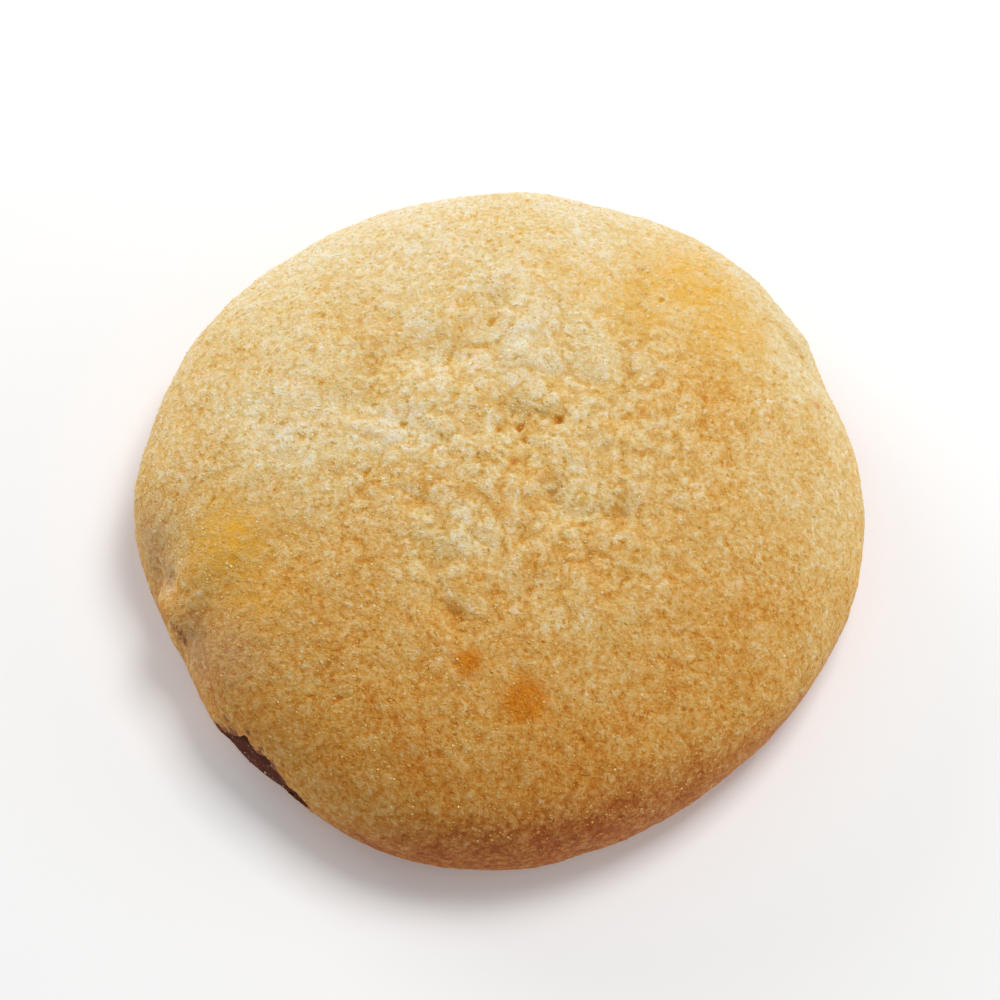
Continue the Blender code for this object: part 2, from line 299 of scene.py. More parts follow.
# ---- grain of the colours, in millimetres
SPECK_PITCH = 0.22
CELL_PITCH = 0.70
FLAKE_PITCH = 2.1
DUST_PITCH = 0.26
MOTTLE_PITCH = 1.6
PORE_PITCH = 0.62
CHOCOLATE_CLOUD_PITCH = 1.4
CHOCOLATE_DUST_PITCH = 0.22
CHOCOLATE_FACET_PITCH = 0.2
CHOCOLATE_GLINT_PITCH = 0.25
SUGAR_TONE_PITCH = 0.7
GLINT_TILT = 0.9         # how far the glinting facets tilt
DOUGH_SCATTER = 0.6      # share of light that passes through the crumb
DOUGH_SCATTER_DEPTH = 0.3

# ---- camera
CAMERA_ELEVATION = 64.5
CAMERA_DISTANCE = 245.0
CAMERA_AIM = (0.18, 1.23, 6.0)
CAMERA_LENS = 100.0
CAMERA_SENSOR = 36.0

# ---- lights: azimuth, elevation, distance, side length, power
LIGHTS = {
    "key": (45.0, 65.0, 500.0, 200.0, 1.34),
    "back_left": (135.0, 18.0, 500.0, 300.0, 1.1),
    "right": (0.0, 18.0, 500.0, 300.0, 0.42),
}
LIGHT_AIM = (0.0, 0.0, 8.0)
WORLD_STRENGTH = 0.3
FLOOR_HALF = 600.0
FLOOR_GLOW = 0.12


def smooth_step(value, start, end):
    share = np.clip((value - start) / (end - start), 0.0, 1.0)
    return share * share * (3.0 - 2.0 * share)


def bell(value, half_width):
    return np.exp(-0.5 * (value / half_width) ** 2)


# ------------------------------------------------------------------ the smooth form

def outline_radius(azimuth):
    angle = np.radians(azimuth)
    radius = 1.0 / np.hypot(np.cos(angle) / (WIDTH / 2), np.sin(angle) / (DEPTH / 2))
    for centre, half_width, push in OUTLINE_LOBES:
        away = (azimuth - centre + 180.0) % 360.0 - 180.0
        radius = radius + push * bell(away, half_width)
    return radius


def profile():
    """Share of the outline radius and height, from the crown down to the base's edge."""
    rise = np.linspace(np.pi / 2, 0.0, PROFILE_STEPS)
    dome_share = np.cos(rise) ** (2 / SHOULDER_POWER)
    dome_height = WIDEST_HEIGHT + (HEIGHT - WIDEST_HEIGHT) * np.sin(rise) ** (2 / SHOULDER_POWER)
    full_turn = np.radians(TUCK_TURN)
    turn = np.linspace(0.0, full_turn, TUCK_STEPS)[1:]
    tuck = (1 - BASE_SHARE) / (1 - np.cos(full_turn))
    tuck_share = 1 - tuck * (1 - np.cos(turn))
    tuck_height = WIDEST_HEIGHT * (1 - np.sin(turn) / np.sin(full_turn))
    return np.append(dome_share, tuck_share), np.append(dome_height, tuck_height)


def side_radius(azimuth, height):
    share, heights = profile()
    return outline_radius(azimuth) * np.interp(height, heights[::-1], share[::-1])


def ring_places():
    """Share of the outline radius, height and number of points of every ring, crown first, base last."""
    share, height = profile()
    steps = np.hypot(np.diff(share) * WIDTH / 2, np.diff(height))
    way = np.append(0.0, np.cumsum(steps))
    side_start = SKIN_RINGS * SKIN_STEP
    side_rings = round((way[-1] - side_start) / SKIN_STEP)
    side_places = np.linspace(side_start, way[-1], side_rings + 1)
    places = np.append(np.arange(SKIN_RINGS) * SKIN_STEP, side_places)
    counts = [6 * min(k, SKIN_RINGS) for k in range(len(places))]
    shares = list(np.interp(places, way, share))
    heights = list(np.interp(places, way, height))
    radius = shares[-1] * WIDTH / 2
    step = SKIN_STEP
    while radius > BASE_STEP:
        step = min(step * BASE_STEP_GROWTH, BASE_STEP)
        radius -= step
        if radius > step / 2:
            shares.append(radius / (WIDTH / 2))
            heights.append(0.0)
            counts.append(max(6, round(2 * np.pi * radius / step)))
    shares.append(0.0)
    heights.append(0.0)
    counts.append(0)
    return shares, heights, counts


def stitch(inner, outer):
    """Triangles between two rings of (azimuth, index) pairs, each ring starting near azimuth 0."""
    faces = []
    i, j = 0, 0
    while i < len(inner) or j < len(outer):
        next_inner = inner[(i + 1) % len(inner)][0] + 360.0 * ((i + 1) // len(inner))
        next_outer = outer[(j + 1) % len(outer)][0] + 360.0 * ((j + 1) // len(outer))
        inner_here = inner[i % len(inner)][1]
        outer_here = outer[j % len(outer)][1]
        if i == len(inner) or (j < len(outer) and next_outer <= next_inner):
            j += 1
            if len(outer) > 1:
                faces.append((inner_here, outer_here, outer[j % len(outer)][1]))
        else:
            i += 1
            if len(inner) > 1:
                faces.append((inner_here, outer_here, inner[i % len(inner)][1]))
    return faces


def new_piece(name, points, faces):
    """Mesh object from points in millimetres, counted from the cookie's own axis."""
    mesh = bpy.data.meshes.new(name)
    mesh.from_pydata((np.asarray(points) * MM).tolist(), [], faces)
    mesh.update()
    item = bpy.data.objects.new(name, mesh)
    item.location = Vector(CENTRING) * MM
    bpy.context.scene.collection.objects.link(item)
    return item


def mesh_points(item):
    flat = np.empty(len(item.data.vertices) * 3, np.float32)
    item.data.vertices.foreach_get("co", flat)
    return flat.reshape(-1, 3).astype(float) / MM


def mesh_normals(item):
    flat = np.empty(len(item.data.vertices) * 3, np.float32)
    item.data.vertex_normals.foreach_get("vector", flat)
    return flat.reshape(-1, 3).astype(float)


def set_points(item, points):
    item.data.vertices.foreach_set("co", (points * MM).astype(np.float32).ravel())
    item.data.update()


def add_mask(item, name, values):
    mask = item.data.attributes.new(name, "FLOAT", "POINT")
    mask.data.foreach_set("value", np.asarray(values, np.float32))


# ------------------------------------------------------------------ relief

def ledge_push(points):
    """How far the ledges push the skin outwards at each point."""
    push = np.zeros(len(points))
    for start, end, upper_push, upper_reach, lower_push, lower_reach in LEDGES:
        along = np.subtract(end, start)
        middle = np.add(start, end) / 2
        outward = middle * (1, 1, 0) / np.hypot(middle[0], middle[1])
        upward = np.cross(outward, along) / np.linalg.norm(along)
        way = (points - middle) @ along / np.linalg.norm(along)
        rise = (points - middle) @ upward
        past = np.maximum(np.abs(way) - np.linalg.norm(along) / 2, 0.0)
        upper = smooth_step(rise, -LEDGE_EDGE, LEDGE_EDGE)
        side = upper * upper_push * bell(rise, upper_reach)
        side += (1 - upper) * lower_push * bell(rise, lower_reach)
        push += side * bell(past, LEDGE_FADE) * ((points - middle) @ outward > -LEDGE_DEPTH)
    return push


def path_distance(x, y, path):
    """Distance in plan from each point to a path of straight runs."""
    nearest = np.full(x.shape, np.inf)
    for (x0, y0), (x1, y1) in zip(path, path[1:]):
        dx, dy = x1 - x0, y1 - y0
        along = np.clip(((x - x0) * dx + (y - y0) * dy) / (dx * dx + dy * dy), 0.0, 1.0)
        nearest = np.minimum(nearest, np.hypot(x - x0 - along * dx, y - y0 - along * dy))
    return nearest


def fractal(points, pitch, octaves, shift=0.0):
    """Fractal noise at each point; the shift gives each use a pattern of its own."""
    offset = Vector((shift, -shift, 2.0 * shift))
    places = (Vector(point) / pitch + offset for point in points.tolist())
    return np.array([noise.fractal(place, 1.0, 2.0, octaves) for place in places])


def crown_share(points):
    """1 on the crown, 0 on the side."""
    from_crown = np.hypot(points[:, 0] - CROWN_CENTRE[0], points[:, 1] - CROWN_CENTRE[1])
    return smooth_step(from_crown, CROWN_RADIUS + CROWN_FADE, CROWN_RADIUS - CROWN_FADE)


def ridge_push(points):
    """How far the ridges push the skin outwards, and the creases and cracks inwards."""
    x, y = points[:, 0], points[:, 1]
    return sum(push * bell(path_distance(x, y, path), half_width) for half_width, push, path in RIDGES)


def main_relief(points):
    """The relief that the solids have too."""
    x, y, z = points.T
    push = ledge_push(points) + ridge_push(points)
    for centre_x, centre_y, centre_z, reach, height in MOUNDS:
        away = np.sqrt((x - centre_x) ** 2 + (y - centre_y) ** 2 + (z - centre_z) ** 2)
        push += height * bell(away, reach)
    lumps = fractal(points, CRUMB_PITCH, 3)
    push += lumps * (CRUMB_SIDE + (CRUMB_CROWN - CRUMB_SIDE) * crown_share(points))
    return push * smooth_step(z, 0.0, BASE_FADE)


def pit_places():
    """Plan x, y, reach and depth of every pit, the crown having most of them."""
    random = np.random.default_rng(PIT_SEED)
    pits = list(PITS)
    for _ in range(PIT_COUNT):
        distance = PIT_SPREAD * random.random() ** 0.75
        angle = 2 * np.pi * random.random()
        reach = random.uniform(*PIT_REACHES)
        deep = reach * random.uniform(*PIT_DEPTHS)
        pits.append((distance * np.cos(angle), distance * np.sin(angle), reach, deep))
    return pits


def pit_depths(points):
    x, y, z = points.T
    depth = np.zeros(len(points))
    above = z > CROWN_START
    for centre_x, centre_y, reach, deep in pit_places():
        beside = np.maximum(np.abs(x - centre_x), np.abs(y - centre_y)) < 2 * reach
        near = np.flatnonzero(above & beside)
        away = np.hypot(x[near] - centre_x, y[near] - centre_y)
        depth[near] = np.maximum(depth[near], deep * smooth_step(away, 1.3 * reach, 0.5 * reach))
    return depth


def crack_depths(points, warped):
    """Sharp, broken cracks along the narrow grooves of the crown."""
    broken = smooth_step(fractal(points, CRACK_BREAK_PITCH, 2, shift=53.0), -0.25, 0.25)
    share = np.zeros(len(points))
    for half_width, push, path in RIDGES:
        if push < 0 and half_width < NARROW_GROOVE:
            away = path_distance(warped[:, 0], warped[:, 1], path)
            share = np.maximum(share, smooth_step(away, 2 * CRACK_HALF_WIDTH, 0.0))
    return CRACK_DEPTH * broken * share * (points[:, 2] > CROWN_START)


def fine_relief(points):
    """Height of the crumb's clumps, grains and cracks, and how far it stands out, for its colour, which
    paints shade into its hollows, creases, cracks and grooves.
    """
    crown = crown_share(points)
    sway = [fractal(points, SKIN_WARP_PITCH, 2, shift=shift) for shift in (3.0, 10.0, 17.0)]
    sway = np.stack(sway, axis=1)
    warped = points + CRUMB_WARP * sway
    clump = np.abs(fractal(warped, CLUMP_PITCH, 2, shift=11.0))
    grain = np.abs(fractal(warped, GRAIN_PITCH, 2, shift=29.0))
    fine = fractal(points, FINE_PITCH, 2, shift=5.0)
    clump = smooth_step(clump, 0.0, CLUMP_CREASE) - CLUMP_LEVEL
    grain = smooth_step(grain, 0.0, GRAIN_CREASE) - GRAIN_LEVEL
    push = clump * (CLUMP_SIDE + (CLUMP_CROWN - CLUMP_SIDE) * crown)
    push += grain * (GRAIN_SIDE + (GRAIN_CROWN - GRAIN_SIDE) * crown)
    push += fine * FINE_HEIGHT
    cracks = crack_depths(points, points + CRACK_WARP * sway)
    # painted shade: the crumb's colour is deeper amber where it lies low, in creases, cracks and grooves
    hollow_shade = clump * (0.20 + 0.30 * crown) + 0.30 * grain + 0.30 * fine - 1.2 * cracks
    return push - cracks, hollow_shade + 0.3 * np.minimum(ridge_push(points), 0.0)


# ------------------------------------------------------------------ dough

def make_skin():
    """The smooth dough: rings of points from the crown to the middle of the base."""
    points, faces, rings = [], [], []
    for k, (share, height, count) in enumerate(zip(*ring_places())):
        count = max(count, 1)
        turn = 0.5 * (k % 2) if k > SKIN_RINGS else 0.0
        azimuths = 360.0 * (np.arange(count) + turn) / count
        radius = share * outline_radius(azimuths)
        angle = np.radians(azimuths)
        first = sum(len(ring) for ring in rings)
        x, y = radius * np.cos(angle), radius * np.sin(angle)
        points.append(np.stack([x, y, np.full(count, height)], axis=1))
        ring = [(azimuth, first + j) for j, azimuth in enumerate(azimuths.tolist())]
        if rings:
            faces += stitch(rings[-1], ring)
        rings.append(ring)
    return new_piece("dough", np.concatenate(points), faces)


def patches(points, table):
    """Strength of the strongest patch of a table at each point."""
    share = np.zeros(len(points))
    for x, y, z, reach, strength in table:
        away = np.linalg.norm(points - np.array((x, y, z)), axis=1)
        share = np.maximum(share, strength * bell(away, reach))
    return share


def colour_masks(points):
    """How toasted, baked brown, golden, ruddy and stained the crust is at each point, and how far painted
    shade greys it on the left side; toast and bake also hold painted shade towards the front, and toast holds
    painted sheen towards the back.
    """
    x, y, z = points.T
    blotches = fractal(points, BLOTCH_PITCH, 2, shift=41.0)
    # browner towards the front, partly painted shade, and paler towards the back, partly painted sheen
    toast = TOAST_MIDDLE - TOAST_AND_SHADE_SLOPE * y + TOAST_BLOTCHES * blotches
    toast -= TOAST_RIGHT * smooth_step(x, 18.0, 30.0) * smooth_step(z, 3.0, 9.0)
    toast += TOAST_TAN * patches(points, TAN_PATCHES) - TOAST_PALE * patches(points, PALE_PATCHES)
    # the bake rises higher at the front, partly painted shade
    front = smooth_step(FRONT_WAY[0] * x + FRONT_WAY[1] * y, *FRONT_REACH)
    baked = smooth_step(z + BAKE_BLOTCHES * blotches - BAKE_AND_SHADE_FRONT * front, BAKE_START, BAKE_END)
    low = smooth_step(z, 9.0, 0.5)
    toast = np.maximum(toast, TOAST_LOW * low) + 0.10 * low
    return {
        "toast": np.clip(toast, 0.0, 1.0),
        "bake": baked * (1.0 - 0.4 * smooth_step(np.abs(x), 8.0, 20.0) * smooth_step(z, 2.0, 7.0)),
        "gold": patches(points, GOLD_PATCHES),
        "ruddy": patches(points, RUDDY_SPOTS),
        "painted_shade": patches(points, PAINTED_SHADE_PATCHES),
        "stain": patches(points, STAIN_PATCHES),
    }


def mouth_stain(points, filling):
    """How much chocolate is smeared on the dough at each point, by its distance from the filling's face."""
    stain = np.zeros(len(points))
    face = mesh_points(filling)
    face = face[np.hypot(face[:, 0], face[:, 1]) > LIP_START]
    tree = kdtree.KDTree(len(face))
    for index, place in enumerate(face.tolist()):
        tree.insert(place, index)
    tree.balance()
    away = np.linalg.norm(points - face.mean(axis=0), axis=1)
    near = np.flatnonzero(away < MOUTH_HALF_WIDTH + STAIN_SEARCH)
    distance = np.array([tree.find(place)[2] for place in points[near].tolist()])
    uneven = distance * (1.0 + fractal(points[near], 0.9, 2, shift=17.0))
    stain[near] = smooth_step(uneven, STAIN_REACH, 0.5 * STAIN_REACH)
    return stain


def make_dough():
    dough = make_skin()
    points = mesh_points(dough)
    normals = mesh_normals(dough)
    above_base = smooth_step(points[:, 2], 0.0, 0.4)
    fine, hollow_shade = fine_relief(points)
    pits = pit_depths(points)
    push = main_relief(points) + (fine - pits) * above_base
    # painted shade: the crumb mask deepens the colour in hollows, and the pit mask deepens it in pits
    add_mask(dough, "crumb", hollow_shade)
    add_mask(dough, "pit", np.clip(4.0 * pits, 0.0, 1.0))
    set_points(dough, points + normals * push[:, None])
    return dough


def paint_dough(dough, filling):
    points = mesh_points(dough)
    masks = colour_masks(points)
    masks["stain"] = np.maximum(masks["stain"], mouth_stain(points, filling))
    for name, values in masks.items():
        add_mask(dough, name, values)


# ------------------------------------------------------------------ filling

def cross_section(station, margin):
    """Half-width, half-height and middle height of the filling at a station, its way from the axis."""
    radius = POCKET_RADIUS + margin
    round_part = np.sqrt(max(1.0 - (station / radius) ** 2, 0.0))
    tongue = smooth_step(station, 0.0, TONGUE_ROOT)
    pocket_size = np.array((radius, POCKET_HALF_HEIGHT + margin)) * round_part
    tongue_size = np.array((MOUTH_HALF_WIDTH + margin, MOUTH_HALF_HEIGHT + margin)) * tongue
    size = (pocket_size ** BLEND_POWER + tongue_size ** BLEND_POWER) ** (1 / BLEND_POWER)
    sink = smooth_step(station, SINK_START, SINK_END)
    return size[0], size[1], POCKET_HEIGHT + (MOUTH_HEIGHT - POCKET_HEIGHT) * sink


def section_loop(station, margin, count, shrink=1.0):
    """Sideways place, station and height of the points round the filling's lens-shaped section."""
    half_width, half_height, middle = cross_section(station, margin)
    angle = np.arange(count) * 2 * np.pi / count
    waves = sum(share * np.sin(times * angle + phase) for times, share, phase in MOUTH_WAVES)
    size = shrink * (1 + waves * smooth_step(station, SINK_START, SINK_END))
    sideways = size * half_width * np.cos(angle)
    lift = size * half_height * np.sign(np.sin(angle)) * np.abs(np.sin(angle)) ** LENS_POWER
    return sideways, np.full(count, station), middle + lift


def face_loop(mouth, count, shrink):
    """A loop on the filling's end face, which follows the dough's side."""
    sideways, _, height = section_loop(mouth, 0.0, count, shrink)
    turn = np.arcsin(sideways / mouth)
    skin = side_radius(MOUTH_AZIMUTH + np.degrees(turn), height) * np.cos(turn)
    return sideways, skin + MOUTH_BULGE - (MOUTH_RECESS + MOUTH_BULGE) * shrink ** 2, height


def filling_form(name, margin, stations, count, face_loops, past_side=None):
    """The filling, or its cutter with a margin all round, which runs on past the side."""
    mouth = side_radius(MOUTH_AZIMUTH, MOUTH_HEIGHT)
    back = -(POCKET_RADIUS + margin)
    front = mouth - FACE_DEPTH
    shares = (1 - np.cos(np.pi * np.arange(1, stations + 1) / stations)) / 2
    loops = [section_loop(back + (front - back) * share, margin, count) for share in shares]
    if past_side is None:
        loops += [face_loop(mouth, count, 1 - k / face_loops) for k in range(face_loops)]
        tip = mouth + MOUTH_BULGE
    else:
        tip = mouth + past_side
        outer = np.arange(front, tip, LIP_STEP)[1:]
        loops += [section_loop(station, margin, count) for station in outer]
    angle = np.radians(MOUTH_AZIMUTH)
    ahead = np.array((np.cos(angle), np.sin(angle), 0.0))
    across = np.array((-ahead[1], ahead[0], 0.0))
    up = np.array((0.0, 0.0, 1.0))
    points = [(ahead * back + up * POCKET_HEIGHT)[None]]
    for sideways, station, height in loops:
        points.append(station[:, None] * ahead + sideways[:, None] * across + height[:, None] * up)
    points.append((ahead * tip + up * MOUTH_HEIGHT)[None])
    return new_piece(name, np.concatenate(points), tube_faces(len(loops), count))


def tube_faces(loop_count, loop_points):
    faces = []
    last = 1 + loop_count * loop_points
    for k in range(loop_points):
        after = (k + 1) % loop_points
        faces.append((0, 1 + after, 1 + k))
        faces.append((last, last - loop_points + k, last - loop_points + after))
        for here in range(1, last - loop_points, loop_points):
            there = here + loop_points
            faces.append((here + k, here + after, there + after))
            faces.append((here + k, there + after, there + k))
    return faces


def rag_lip(cutter):
    """Make the cutter uneven where it comes out of the side, so that the dough breaks off in crumbs."""
    points = mesh_points(cutter)
    normals = mesh_normals(cutter)
    share = smooth_step(np.hypot(points[:, 0], points[:, 1]), LIP_START, LIP_START + LIP_REACH)
    ragged = LIP_RAGGED * fractal(points, LIP_PITCH, 3, shift=71.0) * share
    for x, y, z, reach, push in LIP_NICKS:
        ragged += push * bell(np.linalg.norm(points - np.array((x, y, z)), axis=1), reach)
    set_points(cutter, points + normals * ragged[:, None])


def cut(item, cutter):
    """Take the cutter out of the item."""
    boolean = item.modifiers.new("cavity", "BOOLEAN")
    boolean.operation = "DIFFERENCE"
    boolean.solver = "MANIFOLD"
    boolean.object = cutter
    mesh = bpy.data.meshes.new_from_object(item.evaluated_get(bpy.context.evaluated_depsgraph_get()))
    item.modifiers.clear()
    item.data = mesh
    bpy.data.objects.remove(cutter)


# ------------------------------------------------------------------ crumbs and sugar

def surface_places(item, count, random, weigh):
    """Points in millimetres and normals, spread at random over a mesh of triangles by a weight."""
    item.data.calc_loop_triangles()
    corners = np.empty(len(item.data.loop_triangles) * 3, np.int32)
    item.data.loop_triangles.foreach_get("vertices", corners)
    triangles = mesh_points(item)[corners.reshape(-1, 3)]
    normals = np.cross(triangles[:, 1] - triangles[:, 0], triangles[:, 2] - triangles[:, 0])
    areas = np.linalg.norm(normals, axis=1)
    normals /= areas[:, None]
    weights = areas * weigh(triangles.mean(axis=1), normals)
    chosen = random.choice(len(areas), count, p=weights / weights.sum())
    shares = random.dirichlet((1.0, 1.0, 1.0), count)
    return (triangles[chosen] * shares[:, :, None]).sum(axis=1), normals[chosen]


def random_turns(count, random):
    """Random rotation matrices."""
    turns = np.linalg.qr(random.normal(size=(count, 3, 3)))[0]
    return turns * np.sign(np.linalg.det(turns))[:, None, None]


def lying_turns(normals, random):
    """Rotation matrices that lay a third axis roughly along each normal, with a random turn about it."""
    up = normals + random.normal(0.0, SUGAR_TILT, normals.shape)
    up /= np.linalg.norm(up, axis=1)[:, None]
    side = np.cross(up, random.normal(size=normals.shape))
    side /= np.linalg.norm(side, axis=1)[:, None]
    return np.stack([side, np.cross(up, side), up], axis=1)


def ball(segments, rings):
    """Corners and triangles of a coarse ball."""
    form = bmesh.new()
    bmesh.ops.create_uvsphere(form, u_segments=segments, v_segments=rings, radius=1.0)
    bmesh.ops.triangulate(form, faces=form.faces)
    corners = np.array([corner.co[:] for corner in form.verts])
    faces = np.array([[corner.index for corner in face.verts] for face in form.faces])
    form.free()
    return corners, faces


def scattered_piece(name, shapes, faces):
    """One mesh of many things with the same faces; shapes holds the corners of each."""
    count, corner_count = shapes.shape[:2]
    all_faces = (faces + corner_count * np.arange(count)[:, None, None]).reshape(-1, 3)
    return new_piece(name, shapes.reshape(-1, 3), all_faces.tolist())


def random_halves(sizes, spread, count, random):
    """Half-extents of things of random size, each stretched at random along its own axes."""
    return random.uniform(*sizes, (count, 1, 1)) * random.uniform(*spread, (count, 1, 3))


def make_crumbs(filling):
    """Small jagged crumbs of dough that cling to the filling's face."""
    corners, faces = ball(5, 3)
    random = np.random.default_rng(CRUMB_SEED)

    def weigh(points, normals):
        return np.hypot(points[:, 0], points[:, 1]) > CRUMB_START

    places = surface_places(filling, CRUMB_COUNT, random, weigh)[0]
    half = random_halves(CRUMB_SIZES, (0.7, 1.3), CRUMB_COUNT, random)
    shapes = corners * half * random.uniform(0.7, 1.0, (CRUMB_COUNT, len(corners), 1))
    shapes = shapes @ random_turns(CRUMB_COUNT, random) + places[:, None]
    crumbs = scattered_piece("crumbs", shapes, faces)
    add_mask(crumbs, "toast", np.repeat(random.uniform(0.0, 0.6, CRUMB_COUNT), len(corners)))
    add_mask(crumbs, "bake", np.repeat(random.uniform(0.0, 0.8, CRUMB_COUNT), len(corners)))
    return crumbs


def make_sugar(dough):
    """Flat crystals that lie half sunk in the dough."""
    corners, faces = ball(4, 2)
    random = np.random.default_rng(SUGAR_SEED)

    def weigh(points, normals):
        return smooth_step(normals[:, 2], 0.0, 0.7) * smooth_step(points[:, 2], 3.0, 8.0)

    places, normals = surface_places(dough, SUGAR_COUNT, random, weigh)
    half = random_halves(SUGAR_SIZES, (0.6, 1.4), SUGAR_COUNT, random) * (1.0, 1.0, SUGAR_FLATNESS)
    shapes = corners * half * random.uniform(0.8, 1.0, (SUGAR_COUNT, len(corners), 1))
    shapes = shapes @ lying_turns(normals, random) + places[:, None]
    sugar = scattered_piece("sugar", shapes, faces)
    # the dough's toast carries painted shade on the front and painted sheen at the back
    tone = colour_masks(places)["toast"] + random.uniform(*SUGAR_TONES, SUGAR_COUNT)
    add_mask(sugar, "toast", np.repeat(tone, len(corners)))
    return sugar


# ------------------------------------------------------------------ materials

def new_material(name):
    surface = bpy.data.materials.new(name)
    surface.use_nodes = True
    tree = surface.node_tree
    return surface, tree, tree.nodes["Principled BSDF"]


def mask_node(tree, name):
    node = tree.nodes.new("ShaderNodeAttribute")
    node.attribute_name = name
    return node.outputs["Fac"]


def set_inputs(tree, pairs):
    """Link or set each (socket, value) pair; a colour is given by three numbers."""
    for socket, value in pairs:
        if isinstance(value, bpy.types.NodeSocket):
            tree.links.new(value, socket)
        elif isinstance(value, tuple) and socket.type == "RGBA":
            socket.default_value = (*value, 1.0)
        else:
            socket.default_value = value


def math(tree, operation, *values):
    node = tree.nodes.new("ShaderNodeMath")
    node.operation = operation
    set_inputs(tree, zip(node.inputs, values))
    return node.outputs[0]


def mix(tree, share, first, second, mode="MIX"):
    node = tree.nodes.new("ShaderNodeMix")
    node.data_type = "RGBA"
    node.blend_type = mode
    set_inputs(tree, ((node.inputs[0], share), (node.inputs[6], first), (node.inputs[7], second)))
    return node.outputs[2]


def millimetres(tree):
    """Object coordinates in millimetres."""
    place = tree.nodes.new("ShaderNodeTexCoord").outputs["Object"]
    node = tree.nodes.new("ShaderNodeVectorMath")
    node.operation = "SCALE"
    set_inputs(tree, ((node.inputs[0], place), (node.inputs["Scale"], 1 / MM)))
    return node.outputs[0]


def noise_texture(tree, place, pitch, detail=2.0, roughness=0.6):
    """Fractal noise about zero, with features of a pitch in millimetres."""
    node = tree.nodes.new("ShaderNodeTexNoise")
    inputs = node.inputs
    set_inputs(tree, (
        (inputs["Vector"], place),
        (inputs["Scale"], 1 / pitch),
        (inputs["Detail"], detail),
        (inputs["Roughness"], roughness),
    ))
    return math(tree, "SUBTRACT", node.outputs[0], 0.5)


def cells(tree, place, pitch):
    """Distance from the middle of each cell of a pitch in millimetres, and the cell's random colour."""
    node = tree.nodes.new("ShaderNodeTexVoronoi")
    set_inputs(tree, ((node.inputs["Vector"], place), (node.inputs["Scale"], 1 / pitch)))
    return node.outputs["Distance"], node.outputs["Color"]


def colour_parts(tree, colour):
    node = tree.nodes.new("ShaderNodeSeparateColor")
    tree.links.new(colour, node.inputs[0])
    return node.outputs


def grains(tree, place, pitch):
    """Cells of a pitch in millimetres: a random value about zero, and the dome on each, 0 to 1."""
    distance, colour = cells(tree, place, pitch)
    dome = math(tree, "SUBTRACT", 1.0, math(tree, "POWER", distance, 2.0))
    return math(tree, "SUBTRACT", colour_parts(tree, colour)[0], 0.5), dome


def vector_math(tree, operation, *values):
    node = tree.nodes.new("ShaderNodeVectorMath")
    node.operation = operation
    set_inputs(tree, zip(node.inputs, values))
    return node.outputs[0]


def pushed(tree, vector, colour, reach):
    """The vector pushed about at random by a colour that varies about the middle grey."""
    centred = vector_math(tree, "SUBTRACT", colour, (0.5, 0.5, 0.5))
    return vector_math(tree, "MULTIPLY_ADD", centred, (reach, reach, reach), vector)


def warp(tree, place, pitch, reach):
    """The place pushed about by noise, so that cells lose their straight edges."""
    node = tree.nodes.new("ShaderNodeTexNoise")
    inputs = node.inputs
    pairs = (inputs["Vector"], place), (inputs["Scale"], 1 / pitch), (inputs["Detail"], 2.0)
    set_inputs(tree, pairs)
    return pushed(tree, place, node.outputs["Color"], reach)


def ramp(tree, value, stops):
    node = tree.nodes.new("ShaderNodeValToRGB")
    elements = node.color_ramp.elements
    while len(elements) < len(stops):
        elements.new(0.5)
    for element, (place, colour) in zip(elements, stops):
        element.position = place
        element.color = (*colour, 1.0)
    tree.links.new(value, node.inputs[0])
    return node.outputs[0]


def total(tree, first, *weighted):
    """A value plus several (value, weight) pairs."""
    for value, weight in weighted:
        first = math(tree, "MULTIPLY_ADD", value, weight, first)
    return first


def facets(tree, place, normal, pitch, tilt):
    """The normal tilted at random in each cell of a pitch in millimetres, as on crystals."""
    return vector_math(tree, "NORMALIZE", pushed(tree, normal, cells(tree, place, pitch)[1], tilt))


def bump_normal(tree, height, distance):
    bump = tree.nodes.new("ShaderNodeBump")
    set_inputs(tree, ((bump.inputs["Height"], height), (bump.inputs["Distance"], distance * MM)))
    return bump.outputs[0]


def soft_step(tree, value, start, end):
    """0 at the start to 1 at the end."""
    node = tree.nodes.new("ShaderNodeMapRange")
    node.interpolation_type = "SMOOTHSTEP"
    set_inputs(tree, zip(node.inputs, (value, start, end, 0.0, 1.0)))
    return node.outputs[0]


def cell_spots(tree, place, pitch, share, size):
    """Round spots, 0 to 1, in a share of the cells of a pitch; size is a share of the pitch."""
    distance, colour = cells(tree, place, pitch)
    chosen = math(tree, "LESS_THAN", colour_parts(tree, colour)[1], share)
    return math(tree, "MULTIPLY", chosen, soft_step(tree, distance, size, 0.4 * size))


def upward_share(tree):
    """1 where the surface faces up, less towards the side, 0 on the side."""
    parts = tree.nodes.new("ShaderNodeSeparateXYZ")
    tree.links.new(tree.nodes.new("ShaderNodeNewGeometry").outputs["Normal"], parts.inputs[0])
    return soft_step(tree, parts.outputs[2], 0.35, 0.95)


